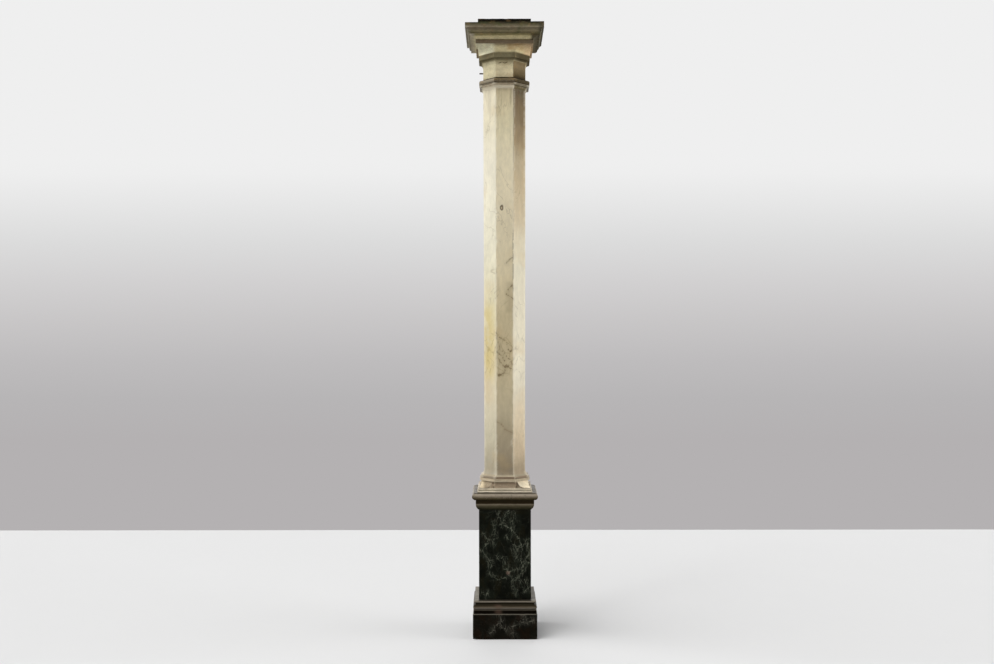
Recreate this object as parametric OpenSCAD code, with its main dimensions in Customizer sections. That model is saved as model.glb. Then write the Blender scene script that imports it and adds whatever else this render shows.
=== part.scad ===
// Octagonal marble column with a square moulded capital, on a square pedestal.
// Millimetres, +Z up. The origin is the centre of the plinth's underside.
// Four of the shaft's eight faces look along +X, -X, +Y and -Y.

/* [Whole column] */
// Height from the floor to the top of the rough bed on the abacus
column_h = 2796; // [2000:1:3600]
// Width across flats of the octagonal shaft near its foot
shaft_foot_w = 187; // [150:1:240]
// Width across flats of the octagonal shaft near its top, and of the neck
shaft_top_w = 194; // [150:1:240]

/* [Shaft] */
// How far the fillet at the shaft's foot stands out of the shaft
shaft_foot_fillet_out = 14.5; // [6:0.5:24]
// Height of the fillet at the shaft's foot
shaft_foot_fillet_h = 10; // [4:1:24]
// Height of the cove above that fillet
shaft_foot_cove_h = 32; // [10:1:60]
// How far the fillet at the shaft's top stands out of the shaft
shaft_top_fillet_out = 16; // [6:0.5:24]
// Height of the fillet at the shaft's top
shaft_top_fillet_h = 11; // [4:1:24]
// Height of the cove below that fillet
shaft_top_cove_h = 18; // [8:1:50]

/* [Base] */
// How far the octagonal fillet stands out past the shaft's foot
base_octagon_out = 6; // [2:0.5:14]
// Height of the octagonal fillet
base_octagon_h = 13; // [6:1:26]
// Height of the hollow, in which the octagon turns into a square
base_hollow_h = 28; // [16:1:50]
// Depth of the hollow behind the octagonal fillet
base_hollow_depth = 7; // [3:0.5:12]
// How far the upper square fillet stands out past the octagonal fillet
base_square_out = 7; // [2:0.5:20]
// Width of the ledge between the hollow and the upper square fillet
base_ledge = 4; // [1:0.5:8]
// Height of the upper square fillet
base_upper_fillet_h = 9; // [5:1:20]
// How far the lower square fillet stands out past the upper one
base_lower_fillet_out = 3; // [1:0.5:10]
// Height of the lower square fillet
base_lower_fillet_h = 7; // [4:1:20]
// Height of the groove between the two square fillets
base_groove_h = 2; // [1:0.5:5]
// Depth of that groove behind the upper square fillet
base_groove_depth = 2; // [1:0.5:5]

/* [Pedestal cap] */
// Width of the flat ledge on the cap, outside the base
cap_ledge = 8; // [2:0.5:20]
// Height of the roll
cap_roll_h = 33; // [16:1:50]
// How far the roll stands out of the fillet below it
cap_roll_out = 16.5; // [8:0.5:25]
// Height of the fillet below the roll
cap_fillet_h = 18; // [8:1:30]
// Height of the ovolo below the fillet
cap_ovolo_h = 28; // [16:1:40]
// How far the ovolo stands out of the die
cap_ovolo_out = 14.5; // [6:0.5:15.5]

/* [Pedestal] */
// Height of the square die
die_h = 406; // [250:1:560]
// Width of the ledge round the foot of the die
foot_ledge = 21; // [8:1:35]
// Height of the fillet with that ledge
foot_top_fillet_h = 7; // [4:1:16]
// Height of the scotia below the top fillet
foot_scotia_h = 12; // [8:1:24]
// Depth of the scotia behind the torus's springing
foot_scotia_depth = 3; // [1:0.5:8]
// Height of the torus below the scotia
foot_torus_h = 20; // [10:1:32]
// How far the torus stands out from its springing
foot_torus_out = 9; // [5:0.5:14]
// Height of the plain fillet between the torus and the plinth
foot_fillet_h = 19; // [8:1:32]
// How far the plinth stands out past the fillet with the ledge
plinth_out = 6.5; // [4.5:0.5:16]
// Height of the plinth
plinth_h = 114; // [70:1:180]

/* [Capital] */
// How far the astragal stands out of the neck
astragal_out = 19; // [10:0.5:26]
// Height of the astragal
astragal_h = 19; // [10:1:30]
// Height of the neck's plain faces
neck_h = 64; // [46:1:120]
// Height of the cove at the top of the neck
neck_cove_h = 27; // [12:1:44]
// How far the octagonal band stands out of the neck
band_out = 20; // [10:0.5:26]
// Height of the octagonal band
band_h = 24; // [12:1:40]
// How far the echinus's square top stands out past the band
echinus_out = 5; // [2:0.5:12]
// Height of the echinus, which turns the octagon into a square
echinus_h = 34; // [20:1:60]
// How far the square fillet stands out past the echinus
abacus_fillet_out = 8.5; // [4:0.5:16]
// Height of the square fillet
abacus_fillet_h = 17; // [8:1:30]
// Height of the groove above the square fillet
abacus_groove_h = 4; // [2:0.5:8]
// Depth of the groove behind the square fillet
abacus_groove_depth = 3.5; // [1:0.5:8]
// How far the fascia stands out past the square fillet
fascia_out = 26.5; // [12:0.5:36]
// Height of the hollow below the fascia
fascia_hollow_h = 10; // [6:1:24]
// Height of the fascia
fascia_h = 12; // [6:1:24]
// How far the abacus stands out past the fascia
abacus_out = 20; // [12:0.5:40]
// Height of the cyma below the abacus's edge
cyma_h = 18; // [10:1:30]
// Height of the abacus's plain edge
abacus_edge_h = 21; // [12:1:34]
// Width of the ledge on the abacus, round the rough bed
bed_ledge = 57; // [20:1:90]
// Height of the rough bed
bed_h = 34; // [12:1:50]

/* [Iron pin] */
// Diameter of the broken iron pin in the neck
pin_d = 7; // [5:0.5:12]
// Length of the pin that stands out of the neck
pin_out = 18; // [8:1:30]
// Depth of the pin's hole in the stone
pin_depth = 25; // [15:1:40]
// Height of the pin above the top of the astragal
pin_rise = 45; // [8:1:56]
// Gap all round between the pin and its hole
pin_clearance = 0.1; // [0.05:0.05:0.3]

/* [Hidden] */
// Straight pieces along each quarter curve, and along each roll
curve_steps = 8;
roll_steps = 12;
// Small step where a curve ends on a fillet
quirk = 2;
// How far the astragal's roll swells out of its springing
astragal_swell = 6;
// Radius of the band's lower edge
band_edge_r = 3;
// Set-back of the cyma's upper end behind the abacus's edge
cyma_quirk = 5;
// Width of the blunt end of each corner tongue
tongue_tip_w = 8;
// Depth to which an octagonal part is let into the square part it grows from
overlap = 2;
// Sides of the octagon
sides = 8;

// Half widths, each from the one before it
shaft_foot_x = shaft_foot_w / 2;
base_octagon_x = shaft_foot_x + shaft_foot_fillet_out + base_octagon_out;
base_upper_x = base_octagon_x + base_square_out;
base_lower_x = base_upper_x + base_lower_fillet_out;
cap_fillet_x = base_lower_x + cap_ledge;
die_x = cap_fillet_x - cap_ovolo_out;
foot_top_x = die_x + foot_ledge;
plinth_x = foot_top_x + plinth_out;
shaft_top_x = shaft_top_w / 2;
astragal_x = shaft_top_x + astragal_out;
band_x = shaft_top_x + band_out;
echinus_x = band_x + echinus_out;
abacus_fillet_x = echinus_x + abacus_fillet_out;
fascia_x = abacus_fillet_x + fascia_out;
abacus_x = fascia_x + abacus_out;
bed_x = abacus_x - bed_ledge;

// Heights of the pieces
foot_h = plinth_h + foot_fillet_h + foot_torus_h + foot_scotia_h + foot_top_fillet_h;
cap_h = cap_ovolo_h + cap_fillet_h + cap_roll_h;
base_fillets_h = base_lower_fillet_h + base_groove_h + base_upper_fillet_h;
base_h = base_fillets_h + base_hollow_h + base_octagon_h;
capital_h = astragal_h + neck_h + neck_cove_h + band_h + echinus_h + abacus_fillet_h
  + abacus_groove_h + fascia_hollow_h + fascia_h + cyma_h + abacus_edge_h + bed_h;

// Levels of the joints between the pieces
die_z = foot_h;
cap_z = die_z + die_h;
base_z = cap_z + cap_h;
shaft_z = base_z + base_h;
capital_z = column_h - capital_h;
shaft_h = capital_z - shaft_z;
pin_z = capital_z + astragal_h + pin_rise;

// Length of the bars whose intersection makes a block: past every corner
bar_l = 4 * max(abacus_x, plinth_x);

// ---- outlines: lists of [half width, height], from the bottom of a piece to its top ----

// Straight upright face between two heights
function upright(x, z0, z1) = [[x, z0], [x, z1]];

// Quarter ellipse that leaves p upright and reaches q level
function upright_to_level(p, q) = [for (i = [0:curve_steps]) let (a = 90 * i / curve_steps)
  [p[0] + (q[0] - p[0]) * (1 - cos(a)), p[1] + (q[1] - p[1]) * sin(a)]];

// Quarter ellipse that leaves p level and reaches q upright
function level_to_upright(p, q) = [for (i = [0:curve_steps]) let (a = 90 * i / curve_steps)
  [p[0] + (q[0] - p[0]) * sin(a), p[1] + (q[1] - p[1]) * (1 - cos(a))]];

// Circular arc from p that reaches q upright
function ovolo(p, q) =
  let (
    dx = q[0] - p[0],
    dz = q[1] - p[1],
    r = (dx * dx + dz * dz) / (2 * dx),
    start = -asin(dz / r)
  )
  [for (i = [0:curve_steps]) let (a = start * (1 - i / curve_steps))
    [q[0] - r + r * cos(a), q[1] + r * sin(a)]];

// Half round that swells out of the half width x, between two heights
function roll(x, z0, z1, out) =
  [for (i = [0:roll_steps]) let (a = -90 + 180 * i / roll_steps)
    [x + out * cos(a), (z0 + z1) / 2 + (z1 - z0) / 2 * sin(a)]];

// Hollow between p and q that sinks behind the straight line between them
function hollow(p, q, depth) = [for (i = [0:curve_steps]) let (t = i / curve_steps)
  [p[0] + (q[0] - p[0]) * t - depth * sin(180 * t), p[1] + (q[1] - p[1]) * t]];

function pedestal_base_outline() =
  let (
    torus_z = plinth_h + foot_fillet_h,
    scotia_z = torus_z + foot_torus_h,
    top_fillet_z = scotia_z + foot_scotia_h,
    fillet_x = plinth_x - plinth_out / 2,
    springing_x = plinth_x - foot_torus_out - 1
  )
  concat(
    upright(plinth_x, 0, plinth_h),
    upright(fillet_x, plinth_h, torus_z),
    roll(springing_x, torus_z, scotia_z, foot_torus_out),
    hollow([springing_x - quirk / 2, scotia_z], [foot_top_x - quirk, top_fillet_z], foot_scotia_depth),
    upright(foot_top_x, top_fillet_z, foot_h)
  );

function pedestal_cap_outline() =
  concat(
    ovolo([die_x, 0], [cap_fillet_x, cap_ovolo_h]),
    roll(cap_fillet_x, cap_ovolo_h + cap_fillet_h, cap_h, cap_roll_out)
  );

function base_square_outline() =
  concat(
    upright(base_lower_x, 0, base_lower_fillet_h),
    upright(base_upper_x - base_groove_depth, base_lower_fillet_h, base_lower_fillet_h + base_groove_h),
    upright(base_upper_x, base_lower_fillet_h + base_groove_h, base_fillets_h)
  );

// Hollow that starts level at half width foot_x and ends upright under the octagonal fillet
function base_octagon_outline(foot_x) =
  let (octagon_z = base_h - base_octagon_h)
  concat(
    [[foot_x, base_fillets_h - overlap]],
    level_to_upright([foot_x, base_fillets_h], [base_octagon_x - base_hollow_depth, octagon_z]),
    upright(base_octagon_x, octagon_z, base_h)
  );

function shaft_outline() =
  let (
    foot_fillet_x = shaft_foot_x + shaft_foot_fillet_out,
    foot_cove_z = shaft_foot_fillet_h + shaft_foot_cove_h,
    top_fillet_x = shaft_top_x + shaft_top_fillet_out,
    top_fillet_z = shaft_h - shaft_top_fillet_h,
    top_cove_z = top_fillet_z - shaft_top_cove_h
  )
  concat(
    upright(foot_fillet_x, 0, shaft_foot_fillet_h),
    level_to_upright([foot_fillet_x - quirk, shaft_foot_fillet_h], [shaft_foot_x, foot_cove_z]),
    upright_to_level([shaft_top_x, top_cove_z], [top_fillet_x - quirk, top_fillet_z]),
    upright(top_fillet_x, top_fillet_z, shaft_h)
  );

// Levels in the capital, above its joint with the shaft
cove_z = astragal_h + neck_h;
band_z = cove_z + neck_cove_h;
echinus_z = band_z + band_h;
abacus_z = echinus_z + echinus_h;

// Astragal, neck, cove, band and an echinus that flares to half width top_x
function capital_octagon_outline(top_x) =
  concat(
    roll(astragal_x - astragal_swell, 0, astragal_h, astragal_swell),
    [[shaft_top_x, astragal_h]],
    upright_to_level([shaft_top_x, cove_z], [band_x - band_edge_r - quirk, band_z]),
    level_to_upright([band_x - band_edge_r, band_z], [band_x, band_z + band_edge_r]),
    upright_to_level([band_x, echinus_z], [top_x, abacus_z]),
    [[top_x, abacus_z + overlap]]
  );

// Square mouldings of the abacus, and the rough bed on it
function abacus_outline() =
  let (
    groove_z = abacus_z + abacus_fillet_h,
    fascia_hollow_z = groove_z + abacus_groove_h,
    fascia_z = fascia_hollow_z + fascia_hollow_h,
    cyma_z = fascia_z + fascia_h,
    edge_z = cyma_z + cyma_h,
    bed_z = edge_z + abacus_edge_h,
    cyma_low = [fascia_x + quirk, cyma_z],
    cyma_high = [abacus_x - cyma_quirk, edge_z],
    cyma_mid = (cyma_low + cyma_high) / 2
  )
  concat(
    upright(abacus_fillet_x, abacus_z, groove_z),
    upright(abacus_fillet_x - abacus_groove_depth, groove_z, fascia_hollow_z),
    upright_to_level([abacus_fillet_x, fascia_hollow_z], [fascia_x - quirk, fascia_z]),
    upright(fascia_x, fascia_z, cyma_z),
    [for (p = level_to_upright(cyma_low, cyma_mid)) if (p != cyma_mid) p],
    upright_to_level(cyma_mid, cyma_high),
    upright(abacus_x, edge_z, bed_z),
    upright(bed_x, bed_z, bed_z + bed_h)
  );

// ---- blocks ----

// Long bar with the outline on both sides, turned about Z
module bar(outline, turn) {
  last = len(outline) - 1;
  rotate([0, 0, turn])
    rotate([90, 0, 0])
      linear_extrude(height = bar_l, center = true)
        polygon(concat(outline, [for (i = [last:-1:0]) [-outline[i][0], outline[i][1]]]));
}

// Square block with mitred mouldings
module square_block(outline) {
  intersection() {
    bar(outline, 0);
    bar(outline, 90);
  }
}

// Corners of an octagon at height z: half width x across its faces, d across its diagonals
function ring(x, d, z) =
  let (s = d * sqrt(2) - x)
  [[x, -s, z], [x, s, z], [s, x, z], [-s, x, z], [-x, s, z], [-x, -s, z], [-s, -x, z], [s, -x, z]];

// Octagonal block with one outline on its faces and another, at the same heights, on its diagonals
module octagonal_block(faces, diagonals) {
  last = len(faces) - 1;
  polyhedron(
    points = [for (i = [0:last]) each ring(faces[i][0], diagonals[i][0], faces[i][1])],
    faces = concat(
      [[for (k = [0:sides - 1]) k]],
      [for (i = [0:last - 1], k = [0:sides - 1]) let (next = (k + 1) % sides)
        [sides * i + k, sides * (i + 1) + k, sides * (i + 1) + next, sides * i + next]],
      [[for (k = [sides - 1:-1:0]) sides * last + k]]
    ),
    convexity = 6
  );
}

// Half width across the diagonals that leaves a blunt tongue near the corner of a square
function tongue_tip(x) = x * sqrt(2) - tongue_tip_w / 2;

// Iron pin's axis, from the bottom of its hole out through the neck's -X face
module along_pin() {
  translate([-shaft_top_x + pin_depth, 0, pin_z])
    rotate([0, -90, 0])
      children();
}

// ---- pieces ----

// Plinth and the mouldings above it, cut from one block
module pedestal_base() {
  color([0.13, 0.12, 0.10])
    square_block(pedestal_base_outline());
}

// Plain square block of dark veined marble
module pedestal_die() {
  color([0.08, 0.10, 0.08])
    translate([-die_x, -die_x, die_z])
      cube([2 * die_x, 2 * die_x, die_h]);
}

// Cap of the pedestal: ovolo, fillet and roll
module pedestal_cap() {
  color([0.38, 0.34, 0.29])
    translate([0, 0, cap_z])
      square_block(pedestal_cap_outline());
}

// Base of the column: square below, octagonal above, with a tongue running to each corner
module column_base() {
  foot_x = base_upper_x - base_ledge;
  color([0.80, 0.75, 0.64])
    translate([0, 0, base_z]) {
      square_block(base_square_outline());
      octagonal_block(base_octagon_outline(foot_x), base_octagon_outline(tongue_tip(foot_x)));
    }
}

// Plain octagonal shaft with a fillet and a cove at each end
module shaft() {
  color([0.86, 0.81, 0.68])
    translate([0, 0, shaft_z])
      octagonal_block(shaft_outline(), shaft_outline());
}

// Astragal, neck, echinus, abacus and rough bed, cut from one block
module capital() {
  color([0.62, 0.57, 0.44])
    difference() {
      translate([0, 0, capital_z]) {
        octagonal_block(
          capital_octagon_outline(echinus_x),
          capital_octagon_outline(tongue_tip(echinus_x))
        );
        square_block(abacus_outline());
      }
      along_pin()
        cylinder(h = pin_depth + pin_out, d = pin_d + 2 * pin_clearance, $fn = 48);
    }
}

// Stub of an iron pin, let into the neck and standing out of it
module iron_pin() {
  color([0.22, 0.17, 0.14])
    along_pin()
      cylinder(h = pin_depth + pin_out, d = pin_d, $fn = 48);
}

pedestal_base();
pedestal_die();
pedestal_cap();
column_base();
shaft();
capital();
iron_pin();
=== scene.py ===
import math

import bpy
import numpy as np
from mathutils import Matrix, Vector
from mathutils.bvhtree import BVHTree


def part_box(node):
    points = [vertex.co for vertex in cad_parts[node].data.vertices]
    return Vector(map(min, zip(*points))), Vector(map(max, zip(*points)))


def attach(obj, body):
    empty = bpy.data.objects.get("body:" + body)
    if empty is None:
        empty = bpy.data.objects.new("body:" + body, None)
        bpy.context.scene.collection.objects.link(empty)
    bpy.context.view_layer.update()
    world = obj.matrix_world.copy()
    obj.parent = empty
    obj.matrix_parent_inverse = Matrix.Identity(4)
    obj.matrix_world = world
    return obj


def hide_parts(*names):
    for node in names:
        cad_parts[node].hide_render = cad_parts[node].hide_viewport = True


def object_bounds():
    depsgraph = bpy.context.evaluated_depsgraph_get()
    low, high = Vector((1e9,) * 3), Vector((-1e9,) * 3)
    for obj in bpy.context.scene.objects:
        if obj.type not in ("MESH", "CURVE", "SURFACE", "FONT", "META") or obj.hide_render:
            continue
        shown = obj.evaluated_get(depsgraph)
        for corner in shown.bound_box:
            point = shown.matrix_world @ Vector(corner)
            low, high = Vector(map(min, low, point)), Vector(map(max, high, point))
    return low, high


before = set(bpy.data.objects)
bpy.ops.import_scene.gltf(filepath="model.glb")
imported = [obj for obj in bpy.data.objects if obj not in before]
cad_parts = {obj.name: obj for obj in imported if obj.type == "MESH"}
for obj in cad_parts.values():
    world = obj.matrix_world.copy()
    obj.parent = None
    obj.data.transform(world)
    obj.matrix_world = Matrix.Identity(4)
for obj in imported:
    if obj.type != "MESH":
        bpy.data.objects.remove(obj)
CAD_LOW, CAD_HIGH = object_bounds()

MM = 0.001
ROOT2 = math.sqrt(2)
UP = Vector((0, 0, 1))
FRONT = Vector((0, -1, 0))
FRONT_LEFT = Vector((-1, -1, 0)).normalized()
FRONT_RIGHT = Vector((1, -1, 0)).normalized()

TOP = CAD_HIGH.z
HALF_ABACUS = CAD_HIGH.x
BED_FOOT = TOP - 34 * MM
SHAFT_LOW, SHAFT_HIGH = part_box("shaft")
FACET_X = 39 * MM
FACET_Y = -95 * MM
PLUG = (-13.5 * MM, FACET_Y, SHAFT_LOW.z + 1.230)
PIN_LOW, PIN_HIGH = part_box("iron_pin")
PIN_Z = (PIN_LOW.z + PIN_HIGH.z) / 2

# The column base: where its hollow begins, and the lower line of the tongues in its corners. The line is
# RISE over that level at FROM from a face's middle, and sinks outwards over FALL. On the left and right
# faces it is SIDE nearer to the middle.
HOLLOW_FOOT = 18 * MM
TONGUE_RISE = 28 * MM
TONGUE_FROM = 55 * MM
TONGUE_FALL = 11 * MM
TONGUE_SIDE = 25 * MM

# Grey of the floor as the camera sees it, and as it throws light back.
FLOOR_GREY = 218
FLOOR_BOUNCE = 160

# Strength of the plain light all round.
SKY = 0.24

# Where the photo was taken from: level, at about half the column's height.
EYE = (-35 * MM, -4.956, 1.3814)


# ---- shapes ----


def smooth(t):
    """Eases t from 0 to 1."""
    t = np.clip(t, 0.0, 1.0)
    return t * t * (3 - 2 * t)


def cell_value(cell, seed):
    """A fixed random value between 0 and 1 for each cell of a grid in space."""
    h = cell[:, 0] * 73856093 ^ cell[:, 1] * 19349663 ^ cell[:, 2] * 83492791 ^ seed * 40503
    h = (h ^ (h >> 13)) * 1274126177
    h = h ^ (h >> 16)
    return (h & 0xFFFF) / 65535.0


def lumps(points, size, seed):
    """Smooth noise between 0 and 1, with lumps about size metres across."""
    place = points / size + seed * 0.37
    cell = np.floor(place).astype(np.int64)
    t = smooth(place - cell)
    total = np.zeros(len(points))
    for corner in np.ndindex(2, 2, 2):
        weight = np.prod(np.where(corner, t, 1 - t), axis=1)
        total += weight * cell_value(cell + np.array(corner), seed)
    return total


def outline(node, step, support):
    """Heights, face half widths and diagonal half widths of a block, read off its CAD solid."""
    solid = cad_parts[node]
    tree = BVHTree.FromObject(solid, bpy.context.evaluated_depsgraph_get())
    heights = sorted({round(v.co.z, 5) for v in solid.data.vertices if v.co.y > 5 * MM})

    def reach(z, way):
        hit = tree.ray_cast(way * 0.5 + Vector((0, 0, z)), -way)[0]
        return math.hypot(hit.x, hit.y)

    def at(z, probe):
        return (z, reach(probe, Vector((1, 0, 0))), reach(probe, Vector((1, 1, 0)).normalized()))

    corners = []
    for low, high in zip(heights, heights[1:]):
        inset = min(0.03 * MM, (high - low) / 4)
        for row in (at(low, low + inset), at(high, high - inset)):
            if not corners or max(abs(a - b) for a, b in zip(row, corners[-1])) > 0.06 * MM:
                corners.append(row)
    rows = [corners[0]]
    for a, b in zip(corners, corners[1:]):
        a, b = np.array(a), np.array(b)
        length = max(math.hypot(*(b - a)[:2]), math.hypot((b - a)[0], (b - a)[2]))
        share = list(np.linspace(0, 1, max(1, math.ceil(length / step)) + 1)[1:])
        if length > 4 * support:
            share = sorted(share + [support / length, 1 - support / length])
        rows += [tuple(a + (b - a) * t) for t in share]
    return np.array(rows)


def with_ends(rows, rings):
    """Adds the flat ends: rings that shrink towards the axis under and over the outline."""
    shares = np.linspace(0.06, 1, rings + 1)[:-1]

    def end(row):
        z, x, d = row
        near = 1 - 1.5 * MM / x
        return [(z, x * share, d * share) for share in (*shares, near)]

    return np.concatenate([end(rows[0]), rows, end(rows[-1])[::-1]])


def loft(rows, per_face, per_diagonal, blunt):
    """Points round the block at each row, and each point's distance from the nearest upright arris."""
    spread = 0.5 * np.sin(np.linspace(-1, 1, per_face + 1) * math.pi / 2)
    spread += 0.5 * np.linspace(-1, 1, per_face + 1)
    across = np.linspace(0, 1, per_diagonal + 1)
    grid, arris = [], []
    for z, x, d in rows:
        s = min(d * ROOT2 - x, x - min(blunt, 0.2 * x))
        face = [(x, s * t) for t in spread[:-1]]
        diagonal = [(x + (s - x) * t, s + (x - s) * t) for t in across[:-1]]
        width = math.hypot(x - s, x - s)
        ring = []
        for turn in range(4):
            for px, py in face + diagonal:
                for _ in range(turn):
                    px, py = -py, px
                ring.append((px, py, z))
        grid.append(ring)
        gaps = [s * (1 - abs(t)) for t in spread[:-1]] + [width * min(t, 1 - t) for t in across[:-1]]
        arris.append(gaps * 4)
    return np.array(grid), np.array(arris)


def lip_distance(rows):
    """Each row's distance along the outline from the nearest outward corner."""
    line = rows[:, [1, 0]]
    steps = np.diff(line, axis=0)
    along = np.concatenate([[0], np.cumsum(np.hypot(*steps.T))])
    unit = steps / np.maximum(np.hypot(*steps.T), 1e-9)[:, None]
    turn = unit[:-1, 0] * unit[1:, 1] - unit[:-1, 1] * unit[1:, 0]
    lips = along[1:-1][turn > 0.45]
    return np.abs(along[:, None] - lips[None, :]).min(axis=1)


def outward(grid):
    """Surface directions of a grid of points."""
    round_it = np.roll(grid, -1, 1) - np.roll(grid, 1, 1)
    up = np.empty_like(grid)
    up[1:-1] = grid[2:] - grid[:-2]
    up[0] = grid[1] - grid[0]
    up[-1] = grid[-1] - grid[-2]
    normal = np.cross(round_it, up)
    return normal / np.maximum(np.linalg.norm(normal, axis=2, keepdims=True), 1e-12)


def lift(grid, reach):
    """How far the neighbours at reach steps lie outside each point: below 0 on edges, above 0 in hollows."""
    above = np.concatenate([grid[reach:], np.repeat(grid[-1:], reach, 0)])
    below = np.concatenate([np.repeat(grid[:1], reach, 0), grid[:-reach]])
    middle = (above + below + np.roll(grid, reach, 1) + np.roll(grid, -reach, 1)) / 4
    return ((middle - grid) * outward(grid)).sum(2)


def softened(grid, seed, amount, passes):
    """Wears the edges down a little, unevenly."""
    uneven = lumps(grid.reshape(-1, 3), 22 * MM, seed).reshape(grid.shape[:2])
    share = amount * (0.25 + 0.75 * smooth((uneven - 0.3) / 0.4))
    for _ in range(passes):
        move = share * np.minimum(lift(grid, 1), 0)
        grid = grid + move[..., None] * outward(grid)
    return grid


def weather(grid, arris, lip, seed, look):
    """Sinks the surface unevenly, with chips along arrises and mouldings and single knocks."""
    flat = grid.reshape(-1, 3)
    depth = look["swell"] * lumps(flat, 55 * MM, seed)
    depth += look["pits"] * smooth((lumps(flat, 6 * MM, seed + 1) - 0.55) / 0.3)
    depth += 0.5 * look["pits"] * lumps(flat, 14 * MM, seed + 2)
    edge = np.exp(-((np.minimum(arris, lip) / look["chip_reach"]) ** 2)).reshape(-1)
    for size, share in ((look["chip_size"], 1.0), (look["chip_size"] * 0.4, 0.45)):
        place = flat * (1, 1, look["chip_flow"])
        rise = 0.7 * lumps(place, size, seed + 3) + 0.3 * lumps(place, size * 0.3, seed + 4)
        rise -= look["chip_from"]
        depth += look["chip"] * share * edge * smooth(rise / 0.16)
    for place, size, deep in look["knocks"]:
        gap = np.linalg.norm((flat - np.array(place)) / np.array(size), axis=1)
        gap += 0.5 * (lumps(flat, min(size) * 0.6, seed + 5) - 0.5)
        depth += deep * smooth((1.15 - gap) / 0.6)
    if look["bed"]:
        level = smooth((flat[:, 2] - (BED_FOOT - 2 * MM)) / (4 * MM))
        sideways = 1 - np.abs(outward(grid).reshape(-1, 3)[:, 2])
        tooled = smooth((lumps(flat, 12 * MM, seed + 8) - 0.45) / 0.3)
        depth = depth * (1 - 0.7 * level) + level * sideways * 1.6 * MM * tooled
    for carve in look["carved"]:
        depth += carve(flat)
    return grid - depth.reshape(grid.shape[:2])[..., None] * outward(grid)


def broken(grid, seed, place, way, lowest):
    """Breaks off what lies beyond a plane, above a lowest height, leaving a rough face."""
    flat = grid.reshape(-1, 3).copy()
    way = np.array(way) / np.linalg.norm(way)
    over = (flat - np.array(place)) @ way + 3 * MM * (lumps(flat, 11 * MM, seed + 9) - 0.4)
    flat -= np.where(flat[:, 2] > lowest, np.maximum(over, 0), 0)[:, None] * way
    return flat.reshape(grid.shape)


def out_of_level(grid):
    """Lifts the abacus slab a little, more on the right than on the left; the bed over it takes it up."""
    x, z = grid[..., 0], grid[..., 2]
    share = smooth((z - (BED_FOOT - 24 * MM)) / (20 * MM)) * np.clip((TOP - z) / (TOP - BED_FOOT), 0, 1)
    lifted = grid.copy()
    lifted[..., 2] += share * (4.2 * MM + 2.3 * MM * x / HALF_ABACUS)
    return lifted


def path_distance(points, paths, wander):
    """Distance in millimetres, 60 at most, from each point to the nearest drawn line, made to wander."""
    nearest = np.full(len(points), 60.0)
    for size, amount in ((34 * MM, wander), (9 * MM, wander * 0.45)):
        drift = [lumps(points, size, seed) - 0.5 for seed in (91, 92)]
        points = points + np.stack([drift[0], np.zeros(len(points)), drift[1]], 1) * 2 * amount
    for path in paths:
        for a, b in zip(path, path[1:]):
            a, b = np.array(a), np.array(b)
            t = np.clip(((points - a) @ (b - a)) / max((b - a) @ (b - a), 1e-12), 0, 1)
            gap = np.linalg.norm(points - a - t[:, None] * (b - a), axis=1) / MM
            nearest = np.minimum(nearest, gap)
    return nearest


def add_values(mesh, name, values):
    """Stores a named number at each point of the mesh."""
    mesh.attributes.new(name, "FLOAT", "POINT").data.foreach_set("value", values.astype(np.float32))


def closed_mesh(name, grid, values):
    """Closed mesh over rows of points, fanned to a middle point at each end, with its named values."""
    rows, around = grid.shape[:2]
    points = np.concatenate([grid.reshape(-1, 3), grid[:1].mean(1), grid[-1:].mean(1)])
    ring = np.arange(around)
    after = (ring + 1) % around
    quads = []
    for r in range(rows - 1):
        low, high = r * around, (r + 1) * around
        quads += np.stack([low + ring, low + after, high + after, high + ring], 1).tolist()
    foot, head = rows * around, rows * around + 1
    last = (rows - 1) * around
    fans = np.stack([after, ring, np.full(around, foot)], 1).tolist()
    fans += np.stack([last + ring, last + after, np.full(around, head)], 1).tolist()
    mesh = bpy.data.meshes.new(name)
    mesh.from_pydata(points.tolist(), [], quads + fans)
    for key, each in values.items():
        ends = [each[0].mean(), each[-1].mean()]
        add_values(mesh, key, np.concatenate([each.reshape(-1), ends]))
    mesh.shade_smooth()
    mesh.set_sharp_from_angle(angle=math.radians(34))
    piece = bpy.data.objects.new(name, mesh)
    bpy.context.scene.collection.objects.link(piece)
    return piece


def stand_for(piece, node, material):
    """Puts the piece on the column in place of its CAD solid."""
    piece.data.materials.append(material)
    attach(piece, "root")
    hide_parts(node)


def stone(node, material, seed, step, per_face, per_diagonal, rings, look, veins=()):
    """A carved and weathered block over the outline of its CAD solid."""
    rows = with_ends(outline(node, step, support=1.2 * MM), rings)
    grid, arris = loft(rows, per_face, per_diagonal, look["blunt"])
    lip = np.repeat(lip_distance(rows)[:, None], grid.shape[1], 1)
    grid = softened(grid, seed, look["wear"], look["passes"])
    grid = weather(grid, arris, lip, seed, look)
    for place, way, lowest in look["breaks"]:
        grid = broken(grid, seed, place, way, lowest)
    if look["bed"]:
        grid = out_of_level(grid)
    low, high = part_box(node)
    grid = np.clip(grid, np.array(low), np.array(high))
    hollow = smooth(np.maximum(lift(grid, 1), 0.4 * lift(grid, 3)) / (0.9 * MM))
    edge = smooth(-lift(grid, 1) / (0.3 * MM))
    vein = path_distance(grid.reshape(-1, 3), veins, look["wander"]).reshape(grid.shape[:2])
    piece = closed_mesh(node + "_stone", grid, {"hollow": hollow, "edge": edge, "vein": vein})
    stand_for(piece, node, material)


# ---- materials ----


def colour(r, g, b):
    """Linear colour from the red, green and blue of a colour as it looks on a screen."""
    parts = [v / 255 for v in (r, g, b)]
    return [v / 12.92 if v <= 0.04045 else ((v + 0.055) / 1.055) ** 2.4 for v in parts] + [1.0]


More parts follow.
